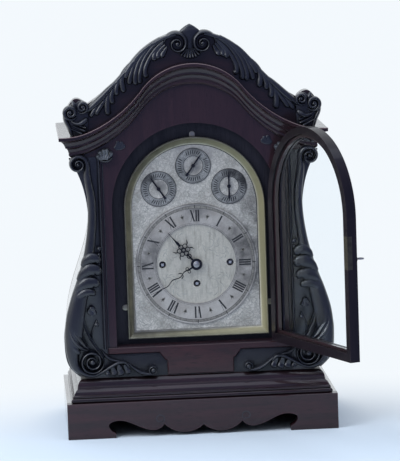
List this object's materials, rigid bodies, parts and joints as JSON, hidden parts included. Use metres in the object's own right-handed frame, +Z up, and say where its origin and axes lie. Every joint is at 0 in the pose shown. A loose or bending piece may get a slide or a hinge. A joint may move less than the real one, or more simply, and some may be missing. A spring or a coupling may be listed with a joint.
{
  "type": "bracket clock",
  "caption": "Carved wooden bracket clock with a waisted case, a bell-shaped top, an arched silvered dial with subsidiary dials, and an arched glazed door standing open.",
  "frame": {"origin": "on the table, under the middle of the plinth's back board", "axes": "+Z up, +X to the right as seen from the front, -Y out of the dial towards the viewer"},
  "size_m": [0.4478, 0.5057, 0.641],
  "materials": {
    "mahogany": "dark French polish",
    "carved_mahogany": "dark polish, worn on the high spots",
    "pine": "stained",
    "ebonised_wood": "ebonised satin",
    "brass": "dulled lacquer",
    "silvered_brass": "silvered and engraved",
    "bell_metal": "cast and turned",
    "blued_steel": "blued",
    "steel": "polished",
    "glass": "clear"
  },
  "bodies": {
    "case": {"plinth_front": "mahogany", "plinth_returns": "mahogany", "base_mouldings": "mahogany", "case_floor": "pine", "front_frame": "mahogany", "case_sides": "mahogany", "back_frame": "pine", "roof": "mahogany", "pediment_board": "mahogany", "cornice": "mahogany", "crest_centre": "carved_mahogany", "crest_leaves": "carved_mahogany", "crest_ears": "carved_mahogany", "consoles": "carved_mahogany", "toe_scrolls": "carved_mahogany", "rail_panel": "mahogany", "case_hinges": "brass", "dial_surround": "ebonised_wood", "dial_bezel": "brass", "lug_screws": "brass", "dial_plate": "silvered_brass", "chapter_ring": "silvered_brass", "subdial_rings": "silvered_brass", "front_plate": "brass", "back_plate": "brass", "pillars": "brass", "seat_board": "pine", "back_cock": "brass", "bells": "bell_metal", "bell_stand": "brass"},
    "front_door": {"door_stiles": "mahogany", "door_head": "mahogany", "door_rail": "mahogany", "door_glass": "glass", "glazing_bead": "mahogany", "door_hinge_leaves": "brass", "lock_case": "brass", "keyhole_plate": "brass"},
    "lock_bolt": {"lock_bolt": "steel"},
    "door_key": {"door_key": "steel"},
    "back_door": {"back_door": "pine"},
    "minute_hand": {"minute_hand": "blued_steel", "cannon_pinion": "brass"},
    "minute_wheel": {"minute_wheel": "brass"},
    "hour_hand": {"hour_hand": "blued_steel", "hour_wheel": "brass"},
    "chime_hand": {"chime_hand": "blued_steel"},
    "rate_hand": {"rate_hand": "blued_steel"},
    "strike_hand": {"strike_hand": "blued_steel"},
    "going_barrel": {"going_barrel": "brass"},
    "strike_barrel": {"strike_barrel": "brass"},
    "chime_barrel": {"chime_barrel": "brass"},
    "going_arbor": {"going_arbor": "steel"},
    "strike_arbor": {"strike_arbor": "steel"},
    "chime_arbor": {"chime_arbor": "steel"},
    "centre_wheel": {"centre_wheel": "brass"},
    "third_wheel": {"third_wheel": "brass"},
    "escape_wheel": {"escape_wheel": "brass"},
    "pallets": {"pallets": "steel"},
    "pendulum": {"pendulum": "brass"}
  },
  "joints": [
    {"name": "front_door_hinge", "type": "hinge", "parent": "case", "child": "front_door", "pos_m": [0.1295, -0.2452, 0.25], "axis": [0, 0, 1], "range_deg": [-112, 8]},
    {"name": "door_key_turn", "type": "hinge", "parent": "front_door", "child": "door_key", "pos_m": [0.22224, -0.4806, 0.296], "axis": [0.9272, 0.3746, 0], "range_deg": [0, 180]},
    {"name": "lock_bolt_slide", "type": "slide", "parent": "front_door", "child": "lock_bolt", "axis": [0.3746, -0.9272, 0], "range_m": [0, 0.004]},
    {"name": "back_door_hinge", "type": "hinge", "parent": "case", "child": "back_door", "pos_m": [-0.1195, 0.0002, 0.25], "axis": [0, 0, 1], "range_deg": [0, 110]},
    {"name": "minute_hand_turn", "type": "hinge", "parent": "case", "child": "minute_hand", "pos_m": [0, 0, 0.2623], "axis": [0, 1, 0], "continuous": true},
    {"name": "minute_wheel_turn", "type": "hinge", "parent": "case", "child": "minute_wheel", "pos_m": [0.013, 0, 0.28482], "axis": [0, 1, 0], "continuous": true},
    {"name": "hour_hand_turn", "type": "hinge", "parent": "case", "child": "hour_hand", "pos_m": [0, 0, 0.2623], "axis": [0, 1, 0], "continuous": true},
    {"name": "chime_hand_turn", "type": "hinge", "parent": "case", "child": "chime_hand", "pos_m": [-0.0553, 0, 0.383], "axis": [0, 1, 0], "range_deg": [0, 68]},
    {"name": "rate_hand_turn", "type": "hinge", "parent": "case", "child": "rate_hand", "pos_m": [0, 0, 0.4175], "axis": [0, 1, 0], "range_deg": [-150, 78]},
    {"name": "strike_hand_turn", "type": "hinge", "parent": "case", "child": "strike_hand", "pos_m": [0.0553, 0, 0.383], "axis": [0, 1, 0], "range_deg": [-35, 35]},
    {"name": "going_winding", "type": "hinge", "parent": "case", "child": "going_arbor", "pos_m": [0, 0, 0.2314], "axis": [0, 1, 0], "range_deg": [0, 1440]},
    {"name": "strike_winding", "type": "hinge", "parent": "case", "child": "strike_arbor", "pos_m": [-0.0532, 0, 0.263], "axis": [0, 1, 0], "range_deg": [0, 1440]},
    {"name": "chime_winding", "type": "hinge", "parent": "case", "child": "chime_arbor", "pos_m": [0.0532, 0, 0.263], "axis": [0, 1, 0], "range_deg": [0, 1440]},
    {"name": "strike_barrel_turn", "type": "hinge", "parent": "case", "child": "strike_barrel", "pos_m": [-0.0532, 0, 0.263], "axis": [0, 1, 0], "continuous": true},
    {"name": "chime_barrel_turn", "type": "hinge", "parent": "case", "child": "chime_barrel", "pos_m": [0.0532, 0, 0.263], "axis": [0, 1, 0], "continuous": true},
    {"name": "third_wheel_turn", "type": "hinge", "parent": "case", "child": "third_wheel", "pos_m": [-0.0132, 0, 0.28517], "axis": [0, 1, 0], "continuous": true},
    {"name": "centre_wheel_turn", "type": "hinge", "parent": "case", "child": "centre_wheel", "pos_m": [0, 0, 0.2623], "axis": [0, 1, 0], "continuous": true},
    {"name": "going_barrel_turn", "type": "hinge", "parent": "case", "child": "going_barrel", "pos_m": [0, 0, 0.2314], "axis": [0, 1, 0], "continuous": true},
    {"name": "escape_wheel_turn", "type": "hinge", "parent": "case", "child": "escape_wheel", "pos_m": [0, 0, 0.3037], "axis": [0, 1, 0], "continuous": true},
    {"name": "pendulum_swing", "type": "hinge", "parent": "case", "child": "pendulum", "pos_m": [0, 0, 0.3247], "axis": [0, 1, 0], "range_deg": [-4, 4]},
    {"name": "pallets_rock", "type": "hinge", "parent": "case", "child": "pallets", "pos_m": [0, 0, 0.3247], "axis": [0, 1, 0], "range_deg": [-4, 4]}
  ],
  "couplings": [
    {"joint": "door_key_turn", "follows": "lock_bolt_slide", "rad_per_m": 785.39},
    {"joint": "minute_wheel_turn", "follows": "minute_hand_turn", "ratio": -1},
    {"joint": "hour_hand_turn", "follows": "minute_hand_turn", "ratio": 0.083333},
    {"joint": "centre_wheel_turn", "follows": "third_wheel_turn", "ratio": -0.1},
    {"joint": "going_barrel_turn", "follows": "third_wheel_turn", "ratio": 0.0083333},
    {"joint": "escape_wheel_turn", "follows": "third_wheel_turn", "ratio": -12},
    {"joint": "pallets_rock", "follows": "pendulum_swing", "ratio": 1}
  ]
}
